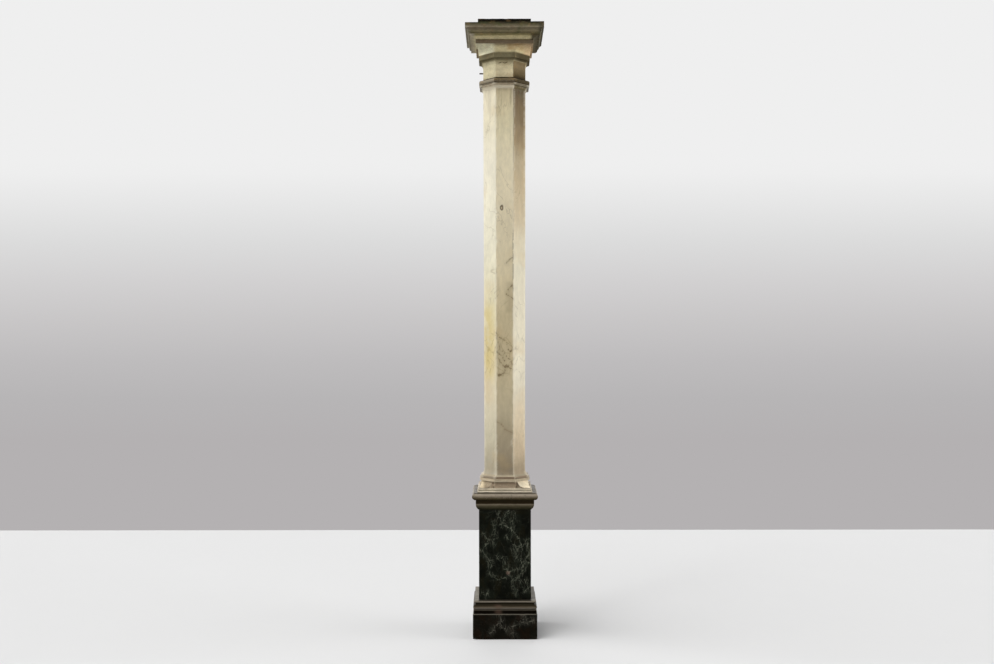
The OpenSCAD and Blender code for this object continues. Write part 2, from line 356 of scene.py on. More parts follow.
class Nodes:
    """Short names for the nodes of one tree."""

    def __init__(self, tree):
        self.tree = tree
        tree.nodes.clear()

    def new(self, kind, **settings):
        node = self.tree.nodes.new(kind)
        for key, value in settings.items():
            setattr(node, key, value)
        return node

    def put(self, socket, value):
        """Links the socket to another one, or sets its own value."""
        if isinstance(value, bpy.types.NodeSocket):
            self.tree.links.new(value, socket)
        else:
            socket.default_value = value

    def fill(self, node, *values):
        """Puts values into a node's first sockets."""
        for index, value in enumerate(values):
            self.put(node.inputs[index], value)
        return node.outputs

    def join(self, node, **values):
        """Puts values into a node's sockets by name."""
        for name, value in values.items():
            self.put(node.inputs[name], value)
        return node.outputs

    def parts(self, vector):
        return self.fill(self.new("ShaderNodeSeparateXYZ"), vector)

    def math(self, operation, *values):
        return self.fill(self.new("ShaderNodeMath", operation=operation), *values)[0]

    def absolute(self, value):
        return self.math("ABSOLUTE", value)

    def all_of(self, *masks):
        """Product of masks."""
        result = masks[0]
        for mask in masks[1:]:
            result = self.math("MULTIPLY", result, mask)
        return result

    def ease(self, value, low, high, start=0.0, end=1.0):
        """Goes smoothly from start to end as value goes from low to high."""
        node = self.new("ShaderNodeMapRange", interpolation_type="SMOOTHSTEP")
        if low > high:
            low, high, start, end = high, low, end, start
        return self.fill(node, value, low, high, start, end)[0]

    def between(self, value, low, high, soft):
        """1 from low to high, fading out over soft on both sides."""
        return self.all_of(self.ease(value, low - soft, low), self.ease(value, high + soft, high))

    def ramp(self, value, stops):
        """Colours that follow one another as value grows, from rows of value, red, green and blue."""
        low, high = stops[0][0], stops[-1][0]
        share = self.fill(self.new("ShaderNodeMapRange"), value, low, high)[0]
        node = self.new("ShaderNodeValToRGB")
        marks = node.color_ramp.elements
        while len(marks) < len(stops):
            marks.new(0.5)
        for mark, (at, *tint) in zip(marks, stops):
            mark.position = (at - low) / (high - low)
            mark.color = colour(*tint)
        return self.fill(node, share)[0]


class Paint(Nodes):
    """The nodes of one material, and its base colour so far.

    side is the distance left or right of the axis; up is the height above a CAD node's foot, or the floor.
    """

    def __init__(self, name, node=None):
        self.material = bpy.data.materials.new(name)
        self.material.use_nodes = True
        super().__init__(self.material.node_tree)
        self.place = self.new("ShaderNodeTexCoord").outputs["Object"]
        self.x, self.y, self.z = self.parts(self.place)
        self.side = self.absolute(self.x)
        self.base = None
        self.up = self.math("SUBTRACT", self.z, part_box(node)[0].z) if node else self.z

    def stretched(self, scale, turn=(0, 0, 0), shift=(0, 0, 0)):
        """The place on the object, moved, turned and scaled."""
        turn = [math.radians(v) for v in turn]
        node = self.new("ShaderNodeMapping")
        return self.join(node, Vector=self.place, Location=shift, Rotation=turn, Scale=scale)[0]

    def noise(self, size, detail=3.0, rough=0.55, twist=0.0, scale=(1, 1, 1), turn=(0, 0, 0), shift=0.0):
        """Noise with lumps about size metres across."""
        place = self.stretched(scale, turn, (shift, shift * 0.7, -shift))
        node = self.new("ShaderNodeTexNoise")
        self.join(node, Vector=place, Scale=1 / size, Detail=detail, Roughness=rough, Distortion=twist)
        return node.outputs["Fac"]

    def drift(self, *settings, **more):
        """Noise that swings about 0."""
        return self.math("SUBTRACT", self.noise(*settings, **more), 0.5)

    def lines(self, width, *settings, **more):
        """Thin winding lines, where a noise crosses its middle."""
        return self.ease(self.absolute(self.drift(*settings, **more)), width, 0.0)

    def cracks(self, size, scale=(1, 1, 1), turn=(0, 0, 0), shift=0.0, wobble=0.3):
        """Distance from the edges of random cells, for nets of veins."""
        bend = self.join(self.new("ShaderNodeTexNoise"), Vector=self.place, Scale=0.9 / size, Detail=3.0)
        place = self.stretched(scale, turn, (shift, -shift, shift * 0.6))
        bent = self.new("ShaderNodeVectorMath", operation="MULTIPLY_ADD")
        self.fill(bent, bend["Color"], (size * wobble * 2,) * 3, place)
        node = self.new("ShaderNodeTexVoronoi", feature="DISTANCE_TO_EDGE")
        return self.join(node, Vector=bent.outputs[0], Scale=1 / size)["Distance"]

    def value(self, name):
        """A number stored at the points of the mesh."""
        return self.new("ShaderNodeAttribute", attribute_name=name).outputs["Fac"]

    def distance(self, place, point):
        node = self.new("ShaderNodeVectorMath", operation="DISTANCE")
        return self.fill(node, place, point)["Value"]

    def facing(self, way, low=0.86, high=0.94):
        """1 where the surface faces a direction."""
        normal = self.new("ShaderNodeNewGeometry").outputs["Normal"]
        node = self.new("ShaderNodeVectorMath", operation="DOT_PRODUCT")
        return self.ease(self.fill(node, normal, tuple(way))["Value"], low, high)

    def mix(self, share, a, b, blend="MIX"):
        """Blends colours, from a to b as share grows."""
        node = self.new("ShaderNodeMix", data_type="RGBA", blend_type=blend)
        self.put(node.inputs[0], share)
        self.put(node.inputs[6], a)
        self.put(node.inputs[7], b)
        return node.outputs[2]

    def cover(self, share, tint, blend="MIX"):
        """Lays other colours over the base colour."""
        self.base = self.mix(share, self.base, tint, blend)

    def stain(self, share, amount, tint):
        """Lays one colour over the base colour, given as red, green and blue up to 255."""
        self.cover(self.math("MULTIPLY", share, amount), colour(*tint))

    def shade(self, value, low, high):
        """Makes the base colour darker or lighter with value, between two factors."""
        factor = self.ease(value, 0.25, 0.75, low, high)
        grey = self.fill(self.new("ShaderNodeCombineColor"), factor, factor, factor)[0]
        self.cover(1.0, grey, "MULTIPLY")

    def by_height(self, wobble, size, *stops):
        """Colours that follow one another upwards, from rows of millimetres, red, green and blue."""
        height = self.math("MULTIPLY_ADD", self.drift(size), wobble, self.up)
        return self.ramp(height, [(at * MM, *tint) for at, *tint in stops])

    def dirt_and_shade_in_hollows(self, size, low, high, amount, tint):
        """Patches of grime and painted shade in the hollows."""
        share = self.all_of(self.value("hollow"), self.ease(self.noise(size, shift=6.0), low, high))
        self.stain(share, amount, tint)

    def finish(self, rough, bumps, gloss):
        """Joins the base colour, roughness and bumps (height, depth in millimetres) in one shader."""
        shader = self.new("ShaderNodeBsdfPrincipled")
        self.put(shader.inputs["Base Color"], self.base)
        shader.inputs["Specular IOR Level"].default_value = gloss
        normal = None
        for height, depth in bumps:
            bump = self.new("ShaderNodeBump")
            if normal:
                self.put(bump.inputs["Normal"], normal)
            normal = self.join(bump, Height=height, Distance=depth * MM)[0]
        self.join(shader, Roughness=rough, Normal=normal)
        self.fill(self.new("ShaderNodeOutputMaterial"), shader.outputs[0])
        return self.material


def facet_colours(n):
    """Colours up the shaft, different on each of the three facets in front, partly as painted light and
    shade.
    """
    plain = n.by_height(
        0.10, 0.05,
        (710, 160, 148, 126), (800, 182, 170, 144), (1000, 212, 200, 172), (1500, 222, 212, 184),
        (2100, 228, 218, 190), (2360, 208, 196, 164), (2470, 186, 170, 136),
    )
    front = n.by_height(
        0.04, 0.05,
        (720, 134, 122, 102), (760, 140, 128, 107), (830, 158, 145, 121), (920, 174, 160, 132),
        (1030, 194, 181, 150), (1200, 202, 187, 152), (1440, 202, 187, 151), (1530, 214, 199, 163),
        (1750, 226, 213, 180), (2000, 236, 223, 191), (2160, 240, 228, 195), (2340, 228, 217, 181),
        (2410, 224, 211, 174), (2470, 206, 192, 157),
    )
    left = n.by_height(
        0.05, 0.05,
        (720, 156, 149, 132), (820, 179, 169, 145), (910, 195, 187, 162), (1030, 210, 200, 173),
        (1140, 214, 202, 173), (1260, 214, 199, 158), (1350, 214, 201, 162), (1500, 222, 212, 176),
        (1640, 225, 218, 191), (1800, 234, 228, 204), (2160, 240, 233, 211), (2340, 234, 225, 197),
        (2470, 236, 226, 198),
    )
    # The right facet's browning towards the head is painted shade as well as grime.
    right = n.by_height(
        0.06, 0.05,
        (720, 158, 142, 116), (820, 195, 176, 146), (910, 218, 199, 166), (1030, 234, 218, 187),
        (1140, 240, 231, 206), (1520, 238, 229, 203), (1750, 235, 227, 200), (1870, 217, 201, 168),
        (2070, 197, 178, 142), (2160, 188, 171, 138), (2250, 156, 135, 99), (2340, 132, 111, 75),
        (2410, 118, 97, 60), (2470, 82, 60, 14),
    )
    n.base = n.mix(n.facing(FRONT), plain, front)
    n.cover(n.facing(FRONT_LEFT), left)
    n.cover(n.facing(FRONT_RIGHT), right)


def shaft_veins(n, drift):
    """Faint lines and a net at random, the drawn veins, and a crack along the front's right-hand arris."""
    lines = n.lines(0.012, 0.20, 4.0, 0.6, 1.2, (1, 1, 0.6), shift=1.7)
    faint = n.all_of(lines, n.ease(n.noise(0.14, shift=5.0), 0.46, 0.62))
    n.stain(faint, 0.4, (142, 126, 98))
    net = n.ease(n.cracks(0.05, (1, 1, 0.7), (0, 40, 0), 0.6), 0.05, 0.0)
    net = n.all_of(net, n.between(n.z, 1.21, 1.36, 0.04), n.ease(n.noise(0.03, shift=2.0), 0.40, 0.55))
    n.stain(net, 0.35, (124, 104, 70))
    gap = n.math("MULTIPLY_ADD", drift, 9.0, n.value("vein"))
    patchy = n.ease(n.noise(0.03, shift=7.0), 0.25, 0.5, 0.35, 1.0)
    n.stain(n.all_of(n.ease(gap, 3.6, 0.8), patchy), 0.75, (98, 78, 46))
    n.stain(n.ease(gap, 15.0, 0.0), 0.16, (128, 108, 74))
    arris = n.absolute(n.math("SUBTRACT", n.x, FACET_X - 0.5 * MM))
    seam = n.all_of(n.ease(arris, 0.004, 0.001), n.facing(FRONT, 0.8, 0.9))
    seam = n.all_of(seam, n.between(n.z, 1.58, 1.83, 0.03), n.ease(n.noise(0.02, shift=31.0), 0.35, 0.5))
    n.stain(seam, 0.75, (104, 82, 54))


def shaft_stains(n):
    """A dull stain on the front, brown streaks and moss under the head, grime and painted shade in the
    hollows.
    """
    grey = n.all_of(n.facing(FRONT), n.between(n.z, 1.48, 1.60, 0.02), n.ease(n.x, -0.012, 0.02))
    n.stain(grey, 0.25, (140, 124, 94))
    streaks = n.noise(0.02, 3.0, 0.6, 0.0, (1, 1, 0.1), shift=4.0)
    high = n.all_of(n.ease(streaks, 0.48, 0.66), n.ease(n.z, 2.16, 2.46))
    n.stain(n.all_of(high, n.ease(n.x, -0.03, 0.05, 0.25, 1.0)), 0.6, (92, 72, 42))
    moss = n.all_of(n.between(n.z, 2.46, 2.52, 0.02), n.ease(n.x, 0.03, 0.07))
    n.stain(n.all_of(moss, n.ease(n.noise(0.02), 0.4, 0.6)), 0.5, (88, 84, 50))
    # Grime and painted shade in the hollows.
    n.dirt_and_shade_in_hollows(0.03, 0.2, 0.6, 0.35, (120, 100, 70))


def shaft_ends(n):
    """Brown bands at the shaft's head, with a painted highlight on its cove and painted shade under the ring
    and on the right, and a darker band and line at its foot.
    """
    height = n.math("MULTIPLY_ADD", n.drift(0.01), 0.003, n.z)
    below_top = n.math("SUBTRACT", SHAFT_HIGH.z, height)
    above_foot = n.math("SUBTRACT", height, SHAFT_LOW.z)
    head = n.ease(below_top, 0.030, 0.018)
    # Painted highlight: the cove under the ring faces down and is made pale as if lit.
    n.stain(n.all_of(head, n.ease(n.x, 0.046, 0.040)), 0.9, (252, 240, 214))
    top_edge = n.ease(below_top, 0.0125, 0.0105)
    n.stain(top_edge, 0.9, (146, 131, 108))
    # Painted shade, with grime, on the right of this band.
    n.stain(n.all_of(top_edge, n.ease(n.x, 0.040, 0.046)), 0.85, (96, 84, 56))
    # Painted shade: a dark line at the very top, under the ring.
    n.stain(n.ease(below_top, 0.0085, 0.0050), 0.85, (96, 84, 62))
    # Painted shade, with grime, on the right of the cove.
    n.stain(n.all_of(head, n.ease(n.x, 0.042, 0.048)), 0.45, (92, 80, 48))
    n.stain(n.all_of(n.ease(n.side, 0.098, 0.106), head), 0.7, (112, 104, 86))
    foot = n.all_of(n.facing(FRONT, 0.5, 0.8), n.ease(above_foot, 0.0125, 0.009))
    n.stain(foot, 0.75, (132, 112, 92))
    n.stain(n.ease(above_foot, 0.003, 0.001), 0.7, (104, 86, 66))


def shaft_plug(n, drift):
    """The filled hole in the front, dark round a pale middle."""
    oval = 0.62
    far = n.distance(n.stretched((1, 1, oval)), (PLUG[0], PLUG[1], PLUG[2] * oval))
    far = n.math("MULTIPLY_ADD", drift, 0.008, far)
    n.stain(n.ease(far, 0.0095, 0.0075), 0.8, (82, 62, 40))
    n.stain(n.ease(far, 0.0042, 0.0026), 0.85, (206, 192, 160))


def shaft_marble():
    """Cream marble with soft grey clouds, brown veins, yellow stains, painted light and shade at the head
    and a darker foot.
    """
    n = Paint("shaft marble")
    facet_colours(n)
    cloud = n.noise(0.11, 4.0, 0.6, 0.6, (1, 1, 0.45))
    n.shade(cloud, 0.88, 1.06)
    n.shade(n.noise(0.012, 4.0, 0.6, 0.0, (1, 1, 0.4), shift=3.0), 0.93, 1.05)
    n.stain(n.ease(n.noise(0.16, shift=9.0), 0.52, 0.7), 0.25, (206, 176, 124))
    yellow = n.all_of(n.between(n.z, 1.20, 1.46, 0.08), n.ease(n.x, -0.030, -0.075))
    n.stain(n.all_of(yellow, n.ease(n.noise(0.05), 0.3, 0.6)), 0.5, (206, 184, 112))
    drift = n.drift(0.014)
    shaft_veins(n, drift)
    shaft_stains(n)
    shaft_ends(n)
    # Pale edges: wear and a painted highlight along the arrises.
    n.stain(n.value("edge"), 0.28, (238, 230, 208))
    shaft_plug(n, drift)
    rough = n.ease(cloud, 0.3, 0.7, 0.46, 0.66)
    return n.finish(rough, ((n.noise(0.006, 4.0), 0.35), (n.noise(0.04), 0.6)), 0.15)


def base_marble():
    """The shaft's marble, dirtier: brown in the hollow, painted light on the tongues, bright on the right
    and darker on the left, and a painted shadow line under them.
    """
    n = Paint("base marble", "column_base")
    n.base = n.by_height(
        0.0015, 0.02,
        (0, 120, 108, 90), (0.8, 170, 158, 136), (2, 226, 214, 190), (6.4, 230, 218, 194),
        (7.8, 104, 92, 74), (9, 160, 148, 128), (11, 206, 194, 170), (17, 210, 198, 174),
        (19.5, 142, 126, 104), (42, 144, 126, 103), (46, 190, 176, 150), (56, 186, 170, 144),
        (59, 150, 132, 106),
    )
    wide = n.math("MINIMUM", n.side, n.math("ADD", n.absolute(n.y), TONGUE_SIDE))
    fall = n.math("DIVIDE", n.math("SUBTRACT", TONGUE_FROM, wide), TONGUE_FALL)
    fall = n.math("MULTIPLY", n.math("EXPONENT", fall), TONGUE_RISE)
    over = n.math("SUBTRACT", n.math("SUBTRACT", n.up, HOLLOW_FOOT), fall)
    tongue = n.all_of(n.ease(over, -0.0005, 0.001), n.between(n.up, 0.0185, 0.0450, 0.001))
    # Painted light and shade: the tongues darker on the left and bright on the right.
    left = n.all_of(tongue, n.ease(n.x, 0.01, -0.01))
    right = n.all_of(tongue, n.ease(n.x, -0.01, 0.01), n.ease(n.y, 0.02, -0.02))
    n.stain(tongue, 0.8, (176, 160, 134))
    n.stain(left, 0.95, (143, 128, 105))
    n.stain(right, 0.95, (246, 232, 202))
    n.stain(n.all_of(left, n.ease(n.x, -0.088, -0.104)), 0.7, (226, 208, 172))
    # Painted shadow: a dark line under the tongues' lower edge.
    lip = n.all_of(n.between(over, -0.0035, -0.0005, 0.001), n.between(n.up, 0.0185, 0.040, 0.002))
    n.stain(n.all_of(lip, n.ease(wide, 0.055, 0.062)), 0.6, (84, 68, 48))
    n.shade(n.noise(0.05, 4.0, 0.6, 0.4), 0.86, 1.08)
    n.shade(n.noise(0.008, 4.0, 0.6, shift=2.0), 0.9, 1.06)
    # Grime and painted shade in the hollows.
    n.dirt_and_shade_in_hollows(0.02, 0.15, 0.5, 0.45, (92, 76, 52))
    n.stain(n.value("edge"), 0.25, (214, 204, 182))
    return n.finish(n.ease(n.noise(0.03), 0.3, 0.7, 0.5, 0.72), ((n.noise(0.006, 4.0), 0.4),), 0.2)


def crust(n):
    """Olive and rusty crust on the capital's upper mouldings, orange spots, and fine grain all over."""
    upper = n.between(n.up, 0.208, 0.266, 0.01)
    green = n.all_of(upper, n.ease(n.noise(0.06, 4.0, 0.6, 0.5, (1, 1, 2), shift=1.0), 0.5, 0.66))
    n.stain(green, 0.45, (84, 92, 54))
    rusty = n.all_of(upper, n.ease(n.noise(0.07, 4.0, 0.6, 0.5, (1, 1, 2), shift=12.0), 0.54, 0.7))
    n.stain(rusty, 0.35, (100, 72, 56))
    n.stain(n.ease(n.noise(0.03, shift=8.0), 0.56, 0.72), 0.2, (182, 146, 96))
    n.shade(n.noise(0.035, 5.0, 0.65, 0.4, (1, 1, 1.6), shift=3.0), 0.84, 1.12)
    n.shade(n.noise(0.006, 4.0, 0.6, shift=2.0), 0.92, 1.09)


def capital_marble():
    """Weathered marble: cream neck and echinus between grey-brown mouldings, under a black bed."""
    n = Paint("capital marble", "capital")
    # Up the capital in millimetres. The pale band from 189 to 199 mm is painted light: the fascia made paler
    # than its stone so it looks lit from below.
    n.base = n.by_height(
        0.004, 0.02,
        (0, 66, 53, 36), (3, 118, 102, 80), (15, 120, 104, 82), (18, 72, 58, 37), (21.5, 78, 63, 40),
        (28, 198, 184, 148), (50, 218, 204, 167), (83, 216, 203, 165), (100, 178, 166, 130),
        (107, 124, 116, 88), (131, 116, 108, 82), (134.5, 166, 154, 118), (139, 208, 194, 151),
        (160, 224, 209, 164), (167, 190, 174, 138), (169.5, 126, 111, 90), (184, 128, 113, 92),
        (186, 124, 109, 76), (189, 186, 171, 128), (191.5, 236, 222, 178), (198.8, 232, 217, 168),
        (200.2, 124, 114, 74), (211, 134, 124, 92), (229, 142, 131, 107), (240, 105, 99, 78),
        (245, 85, 79, 58), (249, 54, 53, 38), (254, 46, 42, 29), (258, 50, 36, 22), (268, 43, 33, 13),
        (273, 15, 11, 5), (284, 14, 10, 5),
    )
    capital_sides(n)
    crust(n)
    lines = n.lines(0.008, 0.07, 5.0, 0.65, 0.8, shift=15.0)
    cracks = n.all_of(lines, n.ease(n.noise(0.08, shift=16.0), 0.46, 0.6))
    n.stain(cracks, 0.5, (96, 84, 52))
    crack = n.math("MULTIPLY_ADD", n.noise(0.01, shift=17.0), 3.0, n.value("vein"))
    n.stain(n.ease(crack, 3.8, 2.2), 0.9, (84, 68, 40))
    # Grime and painted shade in the hollows.
    n.dirt_and_shade_in_hollows(0.02, 0.2, 0.6, 0.35, (74, 62, 40))
    body = n.ease(n.up, 0.246, 0.242)
    n.stain(n.all_of(n.value("edge"), body), 0.16, (176, 164, 132))
    top = n.all_of(n.facing(UP, 0.5, 0.8), n.ease(n.up, 0.24, 0.25))
    n.stain(top, 0.5, (52, 47, 35))
    lichen = n.all_of(top, n.ease(n.noise(0.05, 5.0, 0.7, shift=4.0), 0.42, 0.7))
    n.stain(lichen, 0.45, (80, 82, 56))
    rough = n.ease(n.noise(0.02), 0.3, 0.7, 0.72, 0.92)
    return n.finish(rough, ((n.noise(0.004, 4.0), 0.4), (n.noise(0.02, 4.0), 0.9)), 0.08)


def capital_sides(n):
    """What differs between the capital's left and right, mostly painted light and shade: pale and cream on
    the left, brown and nearly black on the right.
    """
    right = n.ease(n.x, 0.02, 0.08)
    neck = n.between(n.up, 0.024, 0.104, 0.006)
    # Painted light: the neck's left-hand facet paler.
    n.stain(n.all_of(neck, n.facing(FRONT_LEFT)), 0.7, (214, 205, 170))
    # Painted shade and grime: the neck's right-hand facet browner, darker towards the ring.
    painted_shade_and_grime = n.ease(n.up, 0.09, 0.03)
    side = n.mix(painted_shade_and_grime, colour(123, 105, 75), colour(76, 61, 33))
    n.cover(n.math("MULTIPLY", n.all_of(neck, n.facing(FRONT_RIGHT)), 0.94), side)
    # Painted shade and grime: nearly black low on the neck's right-hand facet.
    foot = n.all_of(n.ease(n.up, 0.045, 0.022), n.ease(n.up, 0.016, 0.02))
    n.stain(n.all_of(foot, n.facing(FRONT_RIGHT)), 0.7, (34, 26, 12))
    # Painted light on the ring's left, painted shade on its right.
    ring = n.ease(n.up, 0.024, 0.018)
    n.stain(n.all_of(ring, n.facing(FRONT_LEFT, 0.5, 0.8)), 0.7, (152, 143, 126))
    n.stain(n.all_of(ring, n.facing(FRONT_RIGHT, 0.5, 0.8)), 0.85, (54, 45, 24))
    n.stain(n.between(n.up, 0.0175, 0.0255, 0.001), 0.9, (31, 21, 7))
    rim = n.all_of(n.between(n.up, 0.009, 0.0165, 0.0015), n.ease(n.side, 0.046, 0.040))
    n.stain(rim, 0.8, (106, 92, 66))
    band = n.between(n.up, 0.104, 0.133, 0.003)
    # Painted shade: the band darker on the right.
    n.stain(n.all_of(band, right), 0.7, (61, 49, 28))
    echinus = n.between(n.up, 0.136, 0.167, 0.004)
    patchy = n.ease(n.noise(0.03, shift=21.0), 0.3, 0.6, 0.5, 1.0)
    orange = n.all_of(echinus, patchy, n.between(n.x, 0.024, 0.078, 0.02), n.ease(n.up, 0.14, 0.15))
    n.stain(orange, 0.55, (184, 142, 92))
    n.stain(n.all_of(echinus, n.ease(n.x, 0.076, 0.1)), 0.6, (214, 180, 140))
    front = n.ease(n.y, -0.02, -0.06)
    # Painted light: the echinus paler at the front left.
    n.stain(n.all_of(echinus, front, n.ease(n.x, -0.035, -0.06)), 0.9, (255, 250, 216))
    soffit = n.between(n.up, 0.186, 0.206, 0.002)
    # Painted shade on this band's right, painted light on its left.
    n.stain(n.all_of(soffit, n.ease(n.x, 0.112, 0.128)), 0.85, (43, 37, 25))
    n.stain(n.all_of(soffit, n.ease(n.x, -0.128, -0.145)), 0.6, (189, 181, 165))
    slab = n.between(n.up, 0.200, 0.236, 0.003)
    # Painted light: the slab's left end paler.
    n.stain(n.all_of(slab, n.ease(n.x, -0.145, -0.165)), 0.7, (164, 157, 138))
    # Painted shade: the right end darker under the abacus top.
    edge = n.all_of(n.ease(n.up, 0.2, 0.21), n.ease(n.x, 0.145, 0.162))
    n.stain(edge, 0.7, (56, 55, 42))


def dust_and_top_light(n):
    """Uneven dust and painted top light on what faces up."""
    up = n.facing(UP, 0.12, 0.75)
    patchy = n.ease(n.noise(0.03, 4.0, 0.6, shift=2.5), 0.2, 0.6, 0.6, 1.0)
    return n.all_of(up, patchy)


def cap_marble():
    """Brown marble, painted pale on the roll's top and dark under it, a painted shadow in the hollow, a
    painted highlight along the ovolo's top.
    """
    n = Paint("cap marble", "pedestal_cap")
    # Up the cap in millimetres: the roll's lit top and shaded underside, the shadow on the fillet under it
    # and the highlight on the ovolo's top are painted light and shade.
    n.base = n.by_height(
        0.003, 0.03,
        (0, 44, 43, 29), (10, 61, 57, 39), (20, 86, 79, 61), (26.5, 118, 109, 92), (29, 100, 90, 72),
        (31, 37, 28, 13), (46, 46, 38, 22), (50, 67, 56, 32), (56, 92, 82, 62), (64, 127, 116, 99),
        (70, 151, 139, 122), (79, 178, 166, 148),
    )
    n.shade(n.noise(0.05, 5.0, 0.6, 0.8), 0.80, 1.12)
    roll = n.ease(n.up, 0.048, 0.056)
    pale = n.lines(0.012, 0.09, 4.0, 0.6, 1.0, shift=6.0)
    n.stain(n.all_of(roll, pale), 0.35, (160, 148, 128))
    spots = n.ease(n.noise(0.012, shift=9.0), 0.60, 0.68)
    n.stain(n.all_of(roll, spots), 0.5, (54, 46, 34))
    n.stain(n.all_of(roll, n.ease(n.side, 0.138, 0.148)), 0.4, (58, 52, 42))
    # Dust and painted top light on what faces up.
    n.stain(dust_and_top_light(n), 0.5, (136, 128, 114))
    out = n.math("MAXIMUM", n.side, n.absolute(n.y))
    seam = n.all_of(n.ease(out, 0.145, 0.141), n.ease(n.up, 0.0725, 0.0750))
    n.stain(seam, 0.85, (52, 44, 33))
    rough = n.ease(n.noise(0.02), 0.3, 0.7, 0.38, 0.6)
    return n.finish(rough, ((n.noise(0.007, 4.0), 0.3),), 0.05)


def dark_marble(n, body, cloudy, tinge, vein, mist, shift):
    """Near-black marble: clouds, pale veins where they are drawn, and a net, clearest out of sight."""
    cloud = n.ease(n.noise(0.07, 5.0, 0.65, 1.0, shift=shift), 0.35, 0.7)
    n.base = n.mix(cloud, colour(*body), colour(*cloudy))
    warm = n.ease(n.noise(0.05, 4.0, 0.6, 0.8, (1.2, 1, 0.7), shift=shift + 11), 0.48, 0.62)
    n.stain(warm, 0.75, tinge)
    away = n.math("SUBTRACT", 1.0, n.facing(FRONT, 0.4, 0.8))
    breaks = n.ease(n.noise(0.026, shift=shift + 3), 0.34, 0.56, 0.3, 1.0)
    gap = n.math("MULTIPLY_ADD", n.drift(0.018, 5.0, 0.6, shift=shift), 8.0, n.value("vein"))
    wisps = n.noise(0.022, 5.0, 0.62, 1.2, (1.5, 1, 0.5), (0, -24, 0), shift + 4)
    close = n.ease(n.value("vein"), 26.0, 2.0)
    n.stain(n.all_of(n.ease(gap, 8.0, 0.0), breaks), 0.42, mist)
    n.stain(n.all_of(n.ease(wisps, 0.50, 0.66), close), 0.6, mist)
    web = n.ease(n.cracks(0.024, (1.3, 1, 0.6), (0, -25, 0), shift + 1, 0.6), 0.07, 0.0)
    n.stain(n.all_of(web, close, n.ease(wisps, 0.4, 0.5)), 0.5, vein)
    n.stain(n.all_of(n.ease(gap, 2.3, 0.2), breaks), 0.85, vein)
    fold = n.absolute(n.math("SUBTRACT", wisps, 0.5))
    n.stain(n.all_of(n.ease(fold, 0.012, 0.0), n.ease(n.value("vein"), 20.0, 6.0)), 0.5, vein)
    share = n.math("MULTIPLY_ADD", away, 0.35, 0.10)
    net = n.ease(n.cracks(0.075, (1, 1, 0.8), (20, 30, 0), shift, 0.6), 0.035, 0.0)
    patch = n.ease(n.noise(0.09, shift=shift + 5), 0.42, 0.58)
    n.stain(n.all_of(net, patch, share, breaks), 0.8, vein)
    lines = n.lines(0.012, 0.12, 5.0, 0.62, 1.5, shift=shift + 7)
    n.stain(n.all_of(lines, share, breaks), 0.8, vein)
    n.stain(n.all_of(n.ease(wisps, 0.50, 0.68), away, patch), 0.6, mist)
    # Pale edges: wear and a painted highlight.
    n.stain(n.value("edge"), 0.3, (70, 66, 56))


def foot_marble():
    """Dark marble of the foot: grey fillets and torus as painted highlights, brown-black hollows as painted
    shade.
    """
    n = Paint("foot marble")
    dark_marble(n, (14, 13, 8), (25, 24, 18), (28, 19, 11), (104, 101, 91), (54, 54, 46), 3.0)
    # Up the foot in millimetres: the pale lip, torus and top fillet are painted highlights, the near-black
    # bands between them painted shade.
    mouldings = n.by_height(
        0.002, 0.02,
        (109.5, 94, 91, 81), (113.7, 100, 96, 86), (115.2, 6, 3, 0), (128, 10, 5, 1), (132, 86, 80, 69),
        (139, 118, 111, 100), (146, 86, 77, 62), (149, 44, 38, 27), (163, 40, 36, 25),
        (165, 130, 122, 108), (172, 138, 131, 118),
    )
    face = n.ease(n.z, 0.1100, 0.1118)
    n.cover(n.math("MULTIPLY", face, 0.92), mouldings)
    ruddy = n.all_of(face, n.ease(n.value("vein"), 26.0, 0.0), n.ease(n.x, 0.03, 0.0))
    ruddy = n.all_of(ruddy, n.ease(n.z, 0.16, 0.15))
    n.stain(ruddy, 0.45, (96, 76, 64))
    ledge = n.math("SUBTRACT", 1.0, n.between(n.z, 0.1168, 0.165, 0.0015))
    # Dust and painted top light on what faces up, away from the moulded front.
    n.stain(n.all_of(ledge, dust_and_top_light(n)), 0.85, (102, 97, 85))
    joint = n.all_of(n.ease(n.z, 0.1705, 0.1712), n.ease(n.side, 0.121, 0.117))
    n.stain(joint, 0.85, (28, 24, 18))
    return n.finish(n.ease(n.noise(0.03), 0.3, 0.7, 0.34, 0.5), ((n.noise(0.009, 4.0), 0.12),), 0.025)


def die_marble():
    """Dark green marble of the die, with a reddish knot low on its front."""
    n = Paint("die marble")
    dark_marble(n, (12, 13, 9), (24, 27, 20), (24, 22, 12), (106, 108, 94), (36, 42, 33), 0.0)
    low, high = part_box("pedestal_die")
    knot = (low.x + 0.56 * (high.x - low.x), low.y, low.z + 0.30 * (high.z - low.z))
    n.stain(n.ease(n.distance(n.place, knot), 0.013, 0.002), 0.6, (124, 100, 88))
    rough = n.ease(n.noise(0.03), 0.3, 0.7, 0.34, 0.5)
    return n.finish(rough, ((n.noise(0.009, 4.0), 0.12),), 0.025)


def rust():
    """Flaking rusted iron."""
    n = Paint("rust")
    scale = n.ease(n.noise(0.004, 5.0, 0.7), 0.35, 0.65)
    n.base = n.mix(scale, colour(35, 26, 22), colour(62, 40, 25))
    n.stain(n.ease(n.noise(0.0025, 4.0, shift=3.0), 0.55, 0.7), 0.7, (79, 53, 32))
    return n.finish(n.ease(scale, 0, 1, 0.62, 0.9), ((n.noise(0.0016, 5.0), 0.5),), 0.3)


